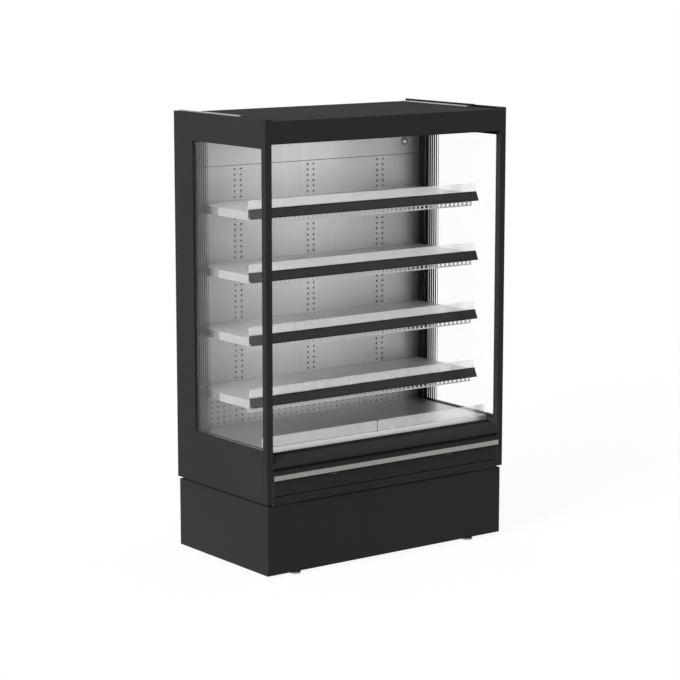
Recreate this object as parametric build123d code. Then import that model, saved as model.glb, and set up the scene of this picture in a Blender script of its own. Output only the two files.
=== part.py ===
from build123d import *
import os

# A heated multideck display: a tall open-fronted cabinet with four heated shelves over a
# heated deck, glazed side walls, a canopy, and a separate plinth on levelling feet.
# X runs to the right, -Y is the open front and +Z is up. The origin is on the floor under the
# middle of the cabinet. All sizes are in millimetres.

# Whole cabinet
case_width = 1330
case_depth = 710
skin = 2  # folded steel sheet
wall_sheet = 1.5  # stainless sheet
gap = 0.5  # clearance round pieces that lift or turn
running_fit = 0.05  # radial clearance of shafts and studs

# Heights, stacked from the floor upwards
foot_clearance = 16  # floor to plinth
plinth_height = 308
seat_rise = 5  # plinth seats above the plinth cover
side_lift = 6  # side panels' lower edge above the cabinet floor
band_height = 35
joint_line = 4  # open joint under the service panel
service_height = 68
service_gap = 2  # open joint over the service panel
carrier_height = 40
groove_height = 14
nose_height = 50
lip_height = 24
opening_height = 1323  # deck to canopy
fascia_height = 98
side_rise = 8  # side panels above the roof
rail_height = 13

# Depths and thicknesses of the shell
post_width = 33
post_depth = 30
side_thickness = 20
gasket_thickness = 2
glass_thickness = 6
glass_overlap = 10  # glass behind the edge of the window
window_rise = 2  # window above the deck
window_drop = 18  # window below the canopy
window_rear_margin = 149
rear_zone = 115  # shelf wall to the back of the cabinet
casing_depth = 50
casing_inset = 2
casing_sheet = 1
roof_depth = 30
bumper_depth = 10
bumper_height = 22
front_return = 12  # depth of the folded front panels

# Curved nose in front of the deck
nose_reach = 4  # in front of the posts
nose_run = 84
nose_flange = 23

# Deck plates
deck_side_gap = 6
deck_lip_overhang = 5  # lip behind the start of the curved nose
deck_edge = 12
deck_rear_gap = 2

# Shelf wall grid
slot_pitch = 25
column_pitch = 33.4
first_row_rise = 14
slot_width = 9
slot_height = 7.5
vent_radius = 3.7
vent_rows = 6
vent_margin = 36
columns_between_uprights = 12
ledge_depth = 12
upper_wall_height = 141.5
seam = 1
upright_width = 60

# Shelves
shelf_count = 4
steps_to_first_shelf = 7
steps_between_shelves = 11
shelf_over_row = 10
shelf_side_gap = 3
shelf_depth = 424  # shelf wall to the ticket strip
tray_flange = 36
tray_flange_front = 233
tray_rear_gap = 1.5
pan_inset = 6
pan_depth = 38
outlet_height = 21
outlet_setback = 24
outlet_inset = 4
outlet_hole_radius = 7
outlet_hole_drop = 9  # hole centres below the pan
outlet_hole_pitch = 25
ticket_rise = 9
ticket_drop = 31
ticket_run = 22
ticket_edge = 3
ticket_toe = 6
ticket_wall = 2
bead_radius = 1.5
bead_gap = 0.3
hook_width = 7
hook_neck = 3
hook_drop = 3.5
hook_thickness = 2.5

# Lamp and sensor
lamp_end_gap = 45  # lamp to the ends of the soffit
lamp_width = 30
lamp_height = 12
lamp_setback = 25
diffuser_height = 3
port_inset = 100
port_below_canopy = 82
port_radius = 19
port_barrel_radius = 13
port_proud = 4
port_barrel_length = 20

# Roof rails
rail_length = 475
rail_rear_margin = 10
rail_wall = 8
rail_foot = 28
rail_foot_thickness = 3
rail_side_gap = 2
cap_length = 28
cap_width = 16

# Base and the warm-air well
well_front = 103  # front compartment depth behind the posts' front
well_rim = 12
fan_plate_back = 88  # fan partition in front of the shelf wall
fan_hole_radius = 95
fan_radius = 90
fan_side_inset = 332
hub_radius = 25
hub_length = 26
blade_count = 5
blade_angle = 32
blade_thickness = 2
motor_radius = 32
motor_length = 48
motor_gap = 16
shaft_radius = 4
spider_width = 10
spider_thickness = 4
spider_reach = 12
heater_radius = 4.25
heater_side_gap = 92  # hairpins' half turns to the right wall
heater_bend = 20
heater_count = 3
heater_pitch = 62
heater_rise = 50
heater_setback = 45
heater_bracket_inset = 202
heater_bracket_thickness = 2
heater_bracket_margin = 16

# Service compartment
hinge_in = 6  # hinge axis behind the service panel's face
hinge_up = 5
hinge_pin_radius = 2.5
hinge_pin_length = 2
lock_side_inset = 306
lock_below_top = 7
lock_radius = 5
lock_barrel_radius = 4
lock_head = 1.2
lock_slot = 1.6
cam_length = 24
cam_width = 9
cam_thickness = 2.5
box_width = 240
box_depth = 62
box_height = 82
box_side_inset = 332
box_rise = 18
knob_radius = 18
knob_length = 16
knob_offset = 60
spindle_radius = 3
spindle_length = 12
rocker_radius = 9.5
rocker_width = 16
rocker_pin_radius = 1.5
rocker_pin_length = 2
rocker_tilt = 9
rocker_proud = 7
rocker_offset = 60
bezel_border = 4
bezel_depth = 8

# Plinth
plinth_inset = 6
plinth_corner = 4
frame_inset = 13  # plinth's faces to the welded frame
tube_width = 40
tube_height = 25
tube_wall = 2
frame_lift = 8
seat_length = 137
seat_depth = 60
plinth_vent_count = 14
plinth_vent_pitch = 60
plinth_vent_width = 8
plinth_vent_height = 90

# Levelling feet
foot_side_inset = 175
foot_pad_radius = 25
foot_pad_height = 8
foot_neck_radius = 11
foot_neck_height = 6
foot_stud_radius = 6
foot_stud_length = 60
foot_boss_radius = 12

# Rear fittings
spacer_side_inset = 165
spacer_below_top = 90
spacer_radius = 22
spacer_length = 12
gland_side_inset = 145
gland_rise = 90
gland_flange_radius = 17
gland_flange_thickness = 3
gland_nut_radius = 13
gland_nut_length = 7
cord_hole_radius = 4
screw_radius = 4
screw_head = 2
screw_margin = 30
screws_up = 5

# Heights worked out from the stack
plinth_top = foot_clearance + plinth_height
case_bottom = plinth_top + seat_rise
side_bottom = case_bottom + side_lift
band_top = case_bottom + band_height
service_bottom = band_top + joint_line
service_top = service_bottom + service_height
carrier_bottom = service_top + service_gap
carrier_top = carrier_bottom + carrier_height
nose_bottom = carrier_top + groove_height
nose_top = nose_bottom + nose_height
deck_top = nose_top + lip_height
deck_under = deck_top - skin
canopy_bottom = deck_top + opening_height
roof_top = canopy_bottom + fascia_height
roof_bottom = roof_top - roof_depth
side_top = roof_top + side_rise
rail_top = roof_top + rail_height

# Widths and depths worked out from the same values
half_width = case_width / 2
front_y = -case_depth / 2
rear_y = case_depth / 2
post_inner = half_width - post_width
side_inner = half_width - side_thickness
glass_outer = side_inner - gasket_thickness
glass_inner = glass_outer - glass_thickness
post_back = front_y + post_depth
wall_y = rear_y - rear_zone
wall_back = wall_y + wall_sheet
casing_back = rear_y - casing_inset
casing_front = casing_back - casing_depth
window_bottom = deck_top + window_rise
window_top = canopy_bottom - window_drop
window_rear = rear_y - window_rear_margin
panel_back = front_y + front_return
well_y = front_y + well_front
deck_half = glass_inner - deck_side_gap
nose_front = front_y - nose_reach
nose_start = nose_front + nose_run
deck_front = nose_start - deck_lip_overhang
first_row = deck_top + first_row_rise
upper_wall_bottom = canopy_bottom - upper_wall_height
lower_wall_top = upper_wall_bottom - seam
fan_y = wall_y - fan_plate_back
fan_z = (case_bottom + deck_top) / 2
hinge_y = front_y + hinge_in
hinge_z = service_bottom + hinge_up
lock_z = service_top - lock_below_top
shelf_half = glass_inner - shelf_side_gap
port_x = side_inner - port_inset
gland_x = half_width - gland_side_inset
box_x = post_inner - box_side_inset
ticket_y = wall_y - shelf_depth


def span(x0, x1, y0, y1, z0, z1):
    """A block between two corners."""
    return Pos((x0 + x1) / 2, (y0 + y1) / 2, (z0 + z1) / 2) * Box(x1 - x0, y1 - y0, z1 - z0)


def prism(points, x0, x1):
    """A run along X of the outline through (y, z) points."""
    face = make_face(Polyline(*[(y, z) for y, z in points], close=True))
    return extrude(Plane.YZ.offset(x0) * face, x1 - x0)


def rod_x(radius, x0, x1, y, z):
    return Pos((x0 + x1) / 2, y, z) * Rot(0, 90, 0) * Cylinder(radius, x1 - x0)


def rod_y(radius, x, y0, y1, z):
    return Pos(x, (y0 + y1) / 2, z) * Rot(90, 0, 0) * Cylinder(radius, y1 - y0)


def rod_z(radius, x, y, z0, z1):
    return Pos(x, y, (z0 + z1) / 2) * Cylinder(radius, z1 - z0)


def pierced_sheet(x0, x1, y, thickness, z0, z1, slots, rounds, radius):
    """An upright sheet facing -Y with oblong slots and round holes at (x, z) places."""
    plane = Plane((0, y, 0), x_dir=(1, 0, 0), z_dir=(0, -1, 0))
    centre = plane.from_local_coords(Vector((x0 + x1) / 2, (z0 + z1) / 2, 0))
    rim = Wire.make_rect(x1 - x0, z1 - z0, Plane(centre, x_dir=(1, 0, 0), z_dir=(0, -1, 0)))
    holes = []
    for x, z in slots:
        at = Plane(plane.from_local_coords(Vector(x, z, 0)), x_dir=(1, 0, 0), z_dir=(0, -1, 0))
        holes.append(Wire.make_rect(slot_width, slot_height, at))
    for x, z in rounds:
        at = Plane(plane.from_local_coords(Vector(x, z, 0)), x_dir=(1, 0, 0), z_dir=(0, -1, 0))
        holes.append(Wire.make_circle(radius, at))
    return Solid.extrude(Face(rim, holes), Vector(0, thickness, 0))


def save(name, *solids):
    """Write one node; several solids stay separate in it."""
    solids = [solid for group in solids for solid in group.solids()]
    shape = solids[0] if len(solids) == 1 else Compound(children=solids)
    export_step(shape, f"parts/{name}.step")


def mirrored(shape):
    return mirror(shape, Plane.YZ)


def slot_rows():
    """Heights of the slots, from the first row to the last whole one on the lower wall."""
    count = int((lower_wall_top - slot_pitch / 2 - first_row) / slot_pitch) + 1
    return [first_row + slot_pitch * n for n in range(count)]


def upright_columns():
    """Each upright's middle, over a whole number of columns."""
    spacing = columns_between_uprights * column_pitch
    return [-spacing, 0, spacing]


def hook_columns():
    return [x + side * column_pitch / 2 for x in upright_columns() for side in (-1, 1)]


def shelf_height(number):
    """Top of a shelf, counted from the lowest."""
    steps = steps_to_first_shelf + number * steps_between_shelves
    return first_row + steps * slot_pitch + shelf_over_row


# Shell


def side_outline(inset, x0, x1):
    """The side wall's C shape, open at the post, with every edge moved in."""
    outer = span(x0, x1, post_back + inset, rear_y - inset, side_bottom + inset, side_top - inset)
    window = span(x0, x1, post_back, window_rear + inset, window_bottom - inset, window_top + inset)
    return outer - window


def side_panel():
    """The right side wall, a folded pan that is open inwards."""
    cavity = side_outline(skin, side_inner, half_width - skin)
    return side_outline(0, side_inner, half_width) - cavity


def front_post():
    """The right front post, a closed box section."""
    post = span(post_inner, half_width, front_y, post_back, side_bottom, side_top)
    bore = span(
        post_inner + skin, half_width - skin, front_y + skin, post_back - skin,
        side_bottom + skin, side_top - skin,
    )
    return fillet(post.edges().filter_by(Axis.Z), skin / 2) - bore


def side_glass():
    """The right pane, inside the side wall and reaching back to the shelf wall."""
    return span(
        glass_inner, glass_outer, post_back, wall_y,
        window_bottom - glass_overlap, window_top + glass_overlap,
    )


def glass_gasket():
    """The right seal between side wall and pane, round three sides of the window."""
    low, high = window_bottom - glass_overlap, window_top + glass_overlap
    strip = span(glass_outer, side_inner, post_back, window_rear + glass_overlap, low, high)
    return strip - span(
        glass_outer, side_inner, post_back, window_rear, window_bottom, window_top
    )


def side_cheek():
    """The right lower liner, a pan under the pane and beside the warm-air well."""
    top = window_bottom - glass_overlap
    outer = span(post_inner, side_inner, post_back, wall_y, side_bottom, top)
    return outer - span(
        post_inner + skin, side_inner, post_back + skin, wall_y - skin, side_bottom + skin, top - skin
    )


def canopy_fascia():
    """The front of the canopy, a channel folded back at top and bottom."""
    outer = span(-post_inner, post_inner, front_y, post_back, canopy_bottom, roof_top)
    return outer - span(
        -post_inner, post_inner, front_y + skin, post_back,
        canopy_bottom + skin, roof_top - skin,
    )


def roof_panel():
    outer = span(-side_inner, side_inner, post_back, casing_back, roof_bottom, roof_top)
    return outer - span(
        -side_inner + skin, side_inner - skin, post_back + skin, casing_back - skin,
        roof_bottom, roof_top - skin,
    )


def lamp_span(inset, z0, z1):
    front = post_back + lamp_setback
    half = side_inner - lamp_end_gap - inset
    return span(-half, half, front + inset, front + lamp_width - inset, z0, z1)


def soffit_panel():
    """The canopy's underside, cut out for the lamp."""
    outer = span(-side_inner, side_inner, post_back, wall_y, canopy_bottom, canopy_bottom + skin)
    return outer - lamp_span(0, canopy_bottom, canopy_bottom + skin)


def lamp_profile():
    outer = lamp_span(0, canopy_bottom, canopy_bottom + lamp_height)
    return outer - lamp_span(skin, canopy_bottom, canopy_bottom + lamp_height - skin)


def lamp_diffuser():
    return lamp_span(skin, canopy_bottom, canopy_bottom + diffuser_height)


def roof_rail():
    """The right roof rail, an upright web with a foot that points inwards."""
    outer = side_inner - rail_side_gap
    back = rear_y - rail_rear_margin
    front = back - rail_length
    web = span(outer - rail_wall, outer, front, back, roof_top, rail_top)
    foot_top = roof_top + rail_foot_thickness
    return web + span(outer - rail_foot, outer, front, back, roof_top, foot_top)


def rail_end_cap():
    outer = side_inner - rail_side_gap
    back = rear_y - rail_rear_margin - rail_length
    cap = span(outer - cap_width, outer, back - cap_length, back, roof_top, rail_top)
    return fillet(cap.edges().group_by(Axis.Z)[-1], rail_foot_thickness)


def rear_casing():
    """The double-skinned back of the cabinet, from the side walls' foot to the roof."""
    outer = span(-side_inner, side_inner, casing_front, casing_back, side_bottom, roof_bottom)
    t = casing_sheet
    hollow = span(
        -side_inner, side_inner, casing_front + t, casing_back - t, side_bottom + t, roof_bottom - t
    )
    entry = rod_y(cord_hole_radius, gland_x, casing_back - t, casing_back, side_bottom + gland_rise)
    return outer - hollow - entry


# Shelf wall


def upper_wall():
    """The upper wall panel, with the sensor port's hole."""
    sheet = span(
        -side_inner, side_inner, wall_y, wall_back, upper_wall_bottom, canopy_bottom
    )
    return sheet - rod_y(
        port_barrel_radius, port_x, wall_y, wall_back, canopy_bottom - port_below_canopy
    )


def lower_wall():
    """The slotted and perforated lower wall, with a ledge that carries the deck plates."""
    slots = [(x, z) for x in hook_columns() for z in slot_rows()]
    columns = int((side_inner - vent_margin) / column_pitch)
    places = [(n + 0.5) * column_pitch for n in range(-columns, columns)]
    free = [x for x in places if min(abs(x - hook) for hook in hook_columns()) > slot_width]
    vents = [(x, first_row + slot_pitch * n) for x in free for n in range(vent_rows)]
    sheet = pierced_sheet(
        -side_inner, side_inner, wall_y, wall_sheet, deck_under - wall_sheet, lower_wall_top,
        slots, vents, vent_radius,
    )
    ledge = span(
        -deck_half, deck_half, wall_y - ledge_depth, wall_y, deck_under - wall_sheet, deck_under
    )
    return sheet + ledge


def slotted_upright(x):
    """A channel behind the wall, slotted like it, that carries the shelf hooks."""
    low, half = deck_under - wall_sheet, upright_width / 2
    columns = [x - column_pitch / 2, x + column_pitch / 2]
    slots = [(column, z) for column in columns for z in slot_rows()]
    web = pierced_sheet(
        x - half, x + half, wall_back, skin, low, canopy_bottom, slots, [], vent_radius
    )
    left = span(x - half, x - half + skin, wall_back + skin, casing_front, low, canopy_bottom)
    right = span(x + half - skin, x + half, wall_back + skin, casing_front, low, canopy_bottom)
    return web + left + right


def sensor_port():
    """A round bezel with a short barrel through the upper wall and a probe tip inside."""
    z = canopy_bottom - port_below_canopy
    bezel = rod_y(port_radius, port_x, wall_y - port_proud, wall_y, z)
    bezel = fillet(bezel.edges().group_by(Axis.Y)[0], port_proud / 2)
    barrel = rod_y(port_barrel_radius, port_x, wall_y, wall_y + port_barrel_length, z)
    recess = rod_y(
        port_barrel_radius - skin, port_x, wall_y - port_proud, wall_y + port_barrel_length - skin, z
    )
    tip = rod_y(shaft_radius, port_x, wall_y, wall_y + port_barrel_length - skin, z)
    return bezel + barrel - recess + tip


# Shelves, drawn with their top at height 0


def shelf_tray():
    """The shelf's top plate, folded down at the front and along the sides."""
    front, back = ticket_y + gap, wall_y - tray_rear_gap
    top = span(-shelf_half, shelf_half, front, back, -wall_sheet, 0)
    upstand = ticket_rise - 2 * bead_radius - bead_gap
    nose = span(-shelf_half, shelf_half, front, front + wall_sheet, -ticket_drop, upstand)
    inner = shelf_half - wall_sheet
    side = span(inner, shelf_half, front, front + tray_flange_front, -tray_flange, 0)
    return top + nose + side + mirrored(side)


def shelf_pan():
    """The air duct under a tray, with a perforated outlet in front and hooks at the back."""
    half = shelf_half - pan_inset
    front, back = ticket_y + outlet_setback, wall_y - gap
    low, high = -pan_depth, -wall_sheet
    pan = span(-half, half, front, back, low, high) - span(
        -half + wall_sheet, half - wall_sheet, front + wall_sheet, back - wall_sheet,
        low + wall_sheet, high,
    )
    outlet_half = shelf_half - outlet_inset
    count = int(outlet_half / outlet_hole_pitch)
    places = [(n + 0.5) * outlet_hole_pitch for n in range(-count, count)]
    outlet = pierced_sheet(
        -outlet_half, outlet_half, front, wall_sheet, low - outlet_height, low,
        [], [(x, low - outlet_hole_drop) for x in places], outlet_hole_radius,
    )
    pan = pan + outlet
    for x in hook_columns():
        for step in (0, 1):
            pan = pan + shelf_hook(x, -shelf_over_row - step * slot_pitch)
    return pan


def shelf_hook(x, row):
    """A tongue that passes a slot, rests on its lower edge and drops behind the upright."""
    half = hook_width / 2
    low = row - slot_height / 2
    behind = wall_back + skin + gap
    neck = span(x - half, x + half, wall_y - gap, behind + hook_thickness, low, low + hook_neck)
    tail = span(x - half, x + half, behind, behind + hook_thickness, low - hook_drop, low)
    return neck + tail


def ticket_strip():
    """The sloping strip on a shelf's front edge, with the bead that it turns on."""
    outline = [
        (ticket_y, ticket_rise),
        (ticket_y - ticket_edge, ticket_rise),
        (ticket_y - ticket_run, -ticket_drop),
        (ticket_y - ticket_run + ticket_wall, -ticket_drop - ticket_wall / 2),
        (ticket_y - ticket_toe, -ticket_drop + ticket_toe),
        (ticket_y, -ticket_drop + ticket_toe),
    ]
    hollow = [
        (ticket_y - ticket_wall, 0),
        (ticket_y - ticket_edge, 0),
        (ticket_y - ticket_toe - ticket_wall, -ticket_drop + ticket_toe + ticket_wall),
        (ticket_y - ticket_wall, -ticket_drop + ticket_toe + ticket_wall),
    ]
    inner = shelf_half - ticket_wall
    strip = prism(outline, -shelf_half, shelf_half) - prism(hollow, -inner, inner)
    return strip + rod_x(bead_radius, -shelf_half, shelf_half, ticket_y, ticket_rise - bead_radius)


# Base, deck and front


def base_tub():
    """The welded base's plates: floor, well walls, front gussets and fan partition."""
    half = post_inner
    floor = span(-half, half, panel_back, casing_front, case_bottom, case_bottom + skin)
    low = case_bottom + skin
    side_high = deck_under - deck_edge
    side = span(half - skin, half, well_y, casing_front, low, side_high)
    gusset = span(half - skin, half, front_y + skin, well_y, low, service_top + service_gap)
    gusset = gusset - rod_x(
        hinge_pin_radius + running_fit, half - skin, half, hinge_y, hinge_z
    )
    front = span(-half + skin, half - skin, well_y, well_y + skin, low, deck_under)
    rim = span(-half + skin, half - skin, well_y - well_rim, well_y, deck_under - skin, deck_under)
    partition = span(-half + skin, half - skin, fan_y, fan_y + skin, low, side_high)
    for x in fan_places():
        partition = partition - rod_y(fan_hole_radius, x, fan_y, fan_y + skin, fan_z)
    return [floor, side, mirrored(side), gusset, mirrored(gusset), front, rim, partition]


def fan_places():
    x = post_inner - fan_side_inset
    return [-x, x]


def fan_motor(x):
    """A motor behind the partition, on four arms that reach past the fan hole."""
    front = fan_y + skin + motor_gap
    motor = rod_y(motor_radius, x, front, front + motor_length, fan_z)
    shaft = rod_y(shaft_radius, x, fan_y - hub_length / 2, front, fan_z)
    reach = fan_hole_radius + spider_reach
    arms = motor + shaft
    for angle in (45, 135, 225, 315):
        arm = span(0, reach, front, front + spider_thickness, -spider_width / 2, spider_width / 2)
        foot = span(
            reach - spider_width, reach, fan_y + skin, front, -spider_width / 2, spider_width / 2
        )
        arms = arms + Pos(x, 0, fan_z) * Rot(0, angle, 0) * (arm + foot)
    return arms


def fan_rotor(x):
    """A hub on the motor shaft with angled blades, turning about Y in the fan hole."""
    middle = fan_y + skin / 2
    hub = rod_y(hub_radius, 0, middle - hub_length / 2, middle + hub_length / 2, 0)
    reach = fan_radius - hub_radius + skin
    blade = Pos(hub_radius - skin + reach / 2, 0, 0) * Box(reach, blade_thickness, hub_length)
    rotor = hub
    for n in range(blade_count):
        turned = Rot(0, n * 360 / blade_count, 0) * Pos(0, middle, 0) * Rot(blade_angle, 0, 0)
        rotor = rotor + turned * blade
    rotor = rotor - rod_y(
        shaft_radius + running_fit, 0, middle - hub_length, middle + hub_length, 0
    )
    return Pos(x, 0, fan_z) * rotor


def heater_hairpin(number):
    """One hairpin element: two long legs from the left wall, joined by a half turn."""
    z = case_bottom + skin + heater_rise + number * heater_pitch
    y = fan_y - heater_setback - heater_bend
    start, end = skin - post_inner, post_inner - heater_side_gap
    near = rod_x(heater_radius, start, end, y - heater_bend, z)
    far = rod_x(heater_radius, start, end, y + heater_bend, z)
    ring = Pos(end, y, z) * Torus(heater_bend, heater_radius)
    turn = ring & span(
        end, end + 2 * heater_bend, y - 2 * heater_bend, y + 2 * heater_bend,
        z - heater_radius, z + heater_radius,
    )
    return near + far + turn


def heater_bracket(x):
    """A plate that stands on the floor and holds every hairpin."""
    y = fan_y - heater_setback - heater_bend
    reach = heater_bend + heater_bracket_margin
    low = case_bottom + skin
    top = low + heater_rise + (heater_count - 1) * heater_pitch + heater_bracket_margin
    half = heater_bracket_thickness / 2
    plate = span(x - half, x + half, y - reach, y + reach, low, top)
    for n in range(heater_count):
        z = low + heater_rise + n * heater_pitch
        for side in (-1, 1):
            plate = plate - rod_x(heater_radius, x - half, x + half, y + side * heater_bend, z)
    return plate


def deck_plate():
    """The right half of the deck, with a folded front lip and edges."""
    inner, outer = gap, deck_half
    back = wall_y - deck_rear_gap
    low = nose_top + gap
    plate = span(inner, outer, deck_front, back, deck_under, deck_top)
    lip = span(inner, outer, deck_front, deck_front + skin, low, deck_top)
    edge_back = wall_y - ledge_depth - gap
    edge = span(
        outer - skin, outer, well_y + skin + gap, edge_back, deck_under - deck_edge + gap, deck_under
    )
    plate = plate + lip + edge
    return fillet(plate.edges().filter_by(Axis.X).group_by(Axis.Z)[-1].group_by(Axis.Y)[0], skin / 2)


def front_nose():
    """The curved profile in front of the deck: a quarter ellipse with flanges and ends."""
    half = post_inner - gap
    flange_back = well_y

    def section(inset):
        quarter = Pos(-nose_run / 2, nose_height / 2) * Rectangle(nose_run, nose_height)
        curve = Ellipse(nose_run - inset, nose_height - inset) & quarter
        return Pos(nose_start, nose_bottom) * curve

    shell = section(0) - section(skin)
    body = extrude(Plane.YZ.offset(-half) * shell, 2 * half)
    cap = extrude(Plane.YZ.offset(half - skin) * section(0), skin)
    top = span(-half, half, nose_start, flange_back, nose_top - skin, nose_top)
    foot = span(-half, half, nose_front + skin, panel_back + skin, nose_bottom, nose_bottom + skin)
    return body + cap + mirrored(cap) + top + foot


def bumper_carrier():
    """The flat band with the bumper strip; its back rises behind the groove to the nose."""
    outline = [
        (front_y, carrier_bottom),
        (panel_back, carrier_bottom),
        (panel_back, carrier_bottom + skin),
        (front_y + skin, carrier_bottom + skin),
        (front_y + skin, carrier_top - skin),
        (panel_back + skin, carrier_top - skin),
        (panel_back + skin, nose_bottom),
        (panel_back, nose_bottom),
        (panel_back, carrier_top),
        (front_y, carrier_top),
    ]
    half = post_inner - gap
    return prism(outline, -half, half)


def bumper_strip():
    """The stainless rub strip across the front."""
    half = post_inner - gap
    strip = span(
        -half, half, front_y - bumper_depth, front_y, carrier_bottom, carrier_bottom + bumper_height
    )
    return fillet(strip.edges().filter_by(Axis.X).group_by(Axis.Y)[0], skin)


def front_pan(half, z0, z1):
    """A folded front panel, open at the back."""
    outer = span(-half, half, front_y, panel_back, z0, z1)
    return outer - span(-half + skin, half - skin, front_y + skin, panel_back, z0 + skin, z1 - skin)


def lower_band():
    return front_pan(post_inner - skin, case_bottom, band_top)


def service_panel():
    """The drop-front panel, with pivot pins at its lower corners and two lock holes."""
    half = post_inner - skin - gap
    panel = front_pan(half, service_bottom, service_top)
    pin = rod_x(hinge_pin_radius, half - skin, half + hinge_pin_length, hinge_y, hinge_z)
    panel = panel + pin + mirrored(pin)
    for x in lock_places():
        panel = panel - rod_y(lock_barrel_radius + running_fit, x, front_y, front_y + skin, lock_z)
    return panel


def lock_places():
    x = post_inner - lock_side_inset
    return [-x, x]


def key_lock(x):
    """A quarter-turn lock: slotted head, barrel through the panel and a cam behind it."""
    head = rod_y(lock_radius, x, front_y - lock_head, front_y, lock_z)
    slot = span(
        x - lock_radius, x + lock_radius, front_y - lock_head, front_y - lock_head / 2,
        lock_z - lock_slot / 2, lock_z + lock_slot / 2,
    )
    barrel = rod_y(lock_barrel_radius, x, front_y, panel_back + gap + cam_thickness, lock_z)
    cam = span(
        x - cam_width / 2, x + cam_length - cam_width / 2, panel_back + gap,
        panel_back + gap + cam_thickness, lock_z - cam_width / 2, lock_z + cam_width / 2,
    )
    return head - slot + barrel + cam


def control_box():
    """The switch box on the compartment's back wall, with a spindle and a switch bezel."""
    x0, x1 = box_x - box_width / 2, box_x + box_width / 2
    z0 = case_bottom + skin + box_rise
    z1 = z0 + box_height
    front = well_y - box_depth
    box = span(x0, x1, front, well_y, z0, z1)
    box = box - span(x0 + skin, x1 - skin, front + skin, well_y, z0 + skin, z1 - skin)
    middle = (z0 + z1) / 2
    spindle = rod_y(spindle_radius, box_x - knob_offset, front - spindle_length, front + skin, middle)
    inner = rocker_radius + gap
    wide = rocker_width / 2 + gap
    centre = box_x + rocker_offset
    bezel = span(
        centre - wide - bezel_border, centre + wide + bezel_border, front - bezel_border,
        front - bezel_border + bezel_depth + rocker_radius,
        middle - inner - bezel_border, middle + inner + bezel_border,
    )
    well = span(
        centre - wide, centre + wide, front - bezel_border,
        front - bezel_border + bezel_depth + rocker_radius, middle - inner, middle + inner,
    )
    pivot = rod_x(
        rocker_pin_radius + running_fit, centre - wide - rocker_pin_length,
        centre + wide + rocker_pin_length, front, middle,
    )
    return box + spindle + bezel - well - pivot


def thermostat_knob():
    """The knob on the spindle, with a pointer rib."""
    z = case_bottom + skin + box_rise + box_height / 2
    x, back = box_x - knob_offset, well_y - box_depth - gap
    knob = rod_y(knob_radius, x, back - knob_length, back, z)
    knob = chamfer(knob.edges().group_by(Axis.Y)[0], skin)
    rib = span(
        x - skin, x + skin, back - knob_length - skin, back - knob_length, z, z + knob_radius - skin
    )
    bore = rod_y(spindle_radius + running_fit, x, back - spindle_length, back, z)
    return knob + rib - bore


def main_switch():
    """The rocker, tipped to its off side: a round back and two faces that meet in a ridge."""
    x, y = box_x + rocker_offset, well_y - box_depth
    z = case_bottom + skin + box_rise + box_height / 2
    half = rocker_width / 2
    body = Rot(0, 90, 0) * Cylinder(rocker_radius, rocker_width)
    keep = span(-half, half, -rocker_proud, rocker_radius, -2 * rocker_radius, 2 * rocker_radius)
    for side in (-1, 1):
        body = body & Rot(side * rocker_tilt, 0, 0) * keep
    reach = half + gap / 2 + rocker_pin_length
    rocker = body + rod_x(rocker_pin_radius, -reach, reach, 0, 0)
    return Pos(x, y, z) * Rot(rocker_tilt, 0, 0) * rocker


# Plinth and feet


def plinth_cover():
    """The plinth's front and sides in one bent sheet, open at the back."""
    half, front = half_width - plinth_inset, front_y + plinth_inset
    back = rear_y - plinth_inset

    def block(inset, radius, rear):
        solid = span(
            -half + inset, half - inset, front + inset, rear, foot_clearance, plinth_top
        )
        corners = solid.edges().filter_by(Axis.Z).group_by(Axis.Y)[0]
        return fillet(corners, radius)

    return block(0, plinth_corner, back) - block(skin, plinth_corner - skin, back + skin)


def plinth_rear():
    """The plinth's rear panel, with a row of upright vents."""
    half, back = half_width - plinth_inset - skin, rear_y - plinth_inset
    sheet = span(-half, half, back - skin, back, foot_clearance, plinth_top)
    middle = (foot_clearance + plinth_top) / 2
    for n in range(plinth_vent_count):
        x = (n - (plinth_vent_count - 1) / 2) * plinth_vent_pitch
        sheet = sheet - span(
            x - plinth_vent_width / 2, x + plinth_vent_width / 2, back - skin, back,
            middle - plinth_vent_height / 2, middle + plinth_vent_height / 2,
        )
    return sheet


def frame_half_x():
    return half_width - plinth_inset - frame_inset


def frame_half_y():
    return case_depth / 2 - plinth_inset - frame_inset


def side_by_side(side, outer, width):
    """The lower and upper bound of a band that reaches inwards from an outer edge."""
    return sorted((side * outer, side * (outer - width)))


def hollow_tube(x0, x1, y0, y1, z0, z1):
    t = tube_wall
    return span(x0, x1, y0, y1, z0, z1) - span(x0 + t, x1 - t, y0 + t, y1 - t, z0 + t, z1 - t)


def plinth_frame():
    """The welded frame's pieces: two rings of tube, four legs and four cabinet seats."""
    low = foot_clearance + frame_lift
    x, y, w = frame_half_x(), frame_half_y(), tube_width
    rings = ((low, low + tube_height), (plinth_top - tube_height, plinth_top))
    pieces = []
    for sy in (-1, 1):
        lower, upper = [hollow_tube(-x, x, *side_by_side(sy, y, w), *ring) for ring in rings]
        for sx in (-1, 1):
            fx, fy = foot_place(sx, sy)
            lower = lower + rod_z(foot_boss_radius, fx, fy, low, low + tube_height)
            lower = lower - rod_z(foot_stud_radius + running_fit, fx, fy, low, low + tube_height)
            edge = case_depth / 2 - plinth_inset
            seat_x = side_by_side(sx, post_inner, seat_length)
            seat_y = side_by_side(sy, edge, seat_depth)
            pieces.append(span(*seat_x, *seat_y, plinth_top, case_bottom))
            leg_z = low + tube_height, plinth_top - tube_height
            pieces.append(hollow_tube(*side_by_side(sx, x, w), *side_by_side(sy, y, w), *leg_z))
        pieces += [lower, upper]
    for sx in (-1, 1):
        for ring in rings:
            pieces.append(hollow_tube(*side_by_side(sx, x, w), -y + w, y - w, *ring))
    return pieces


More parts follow.
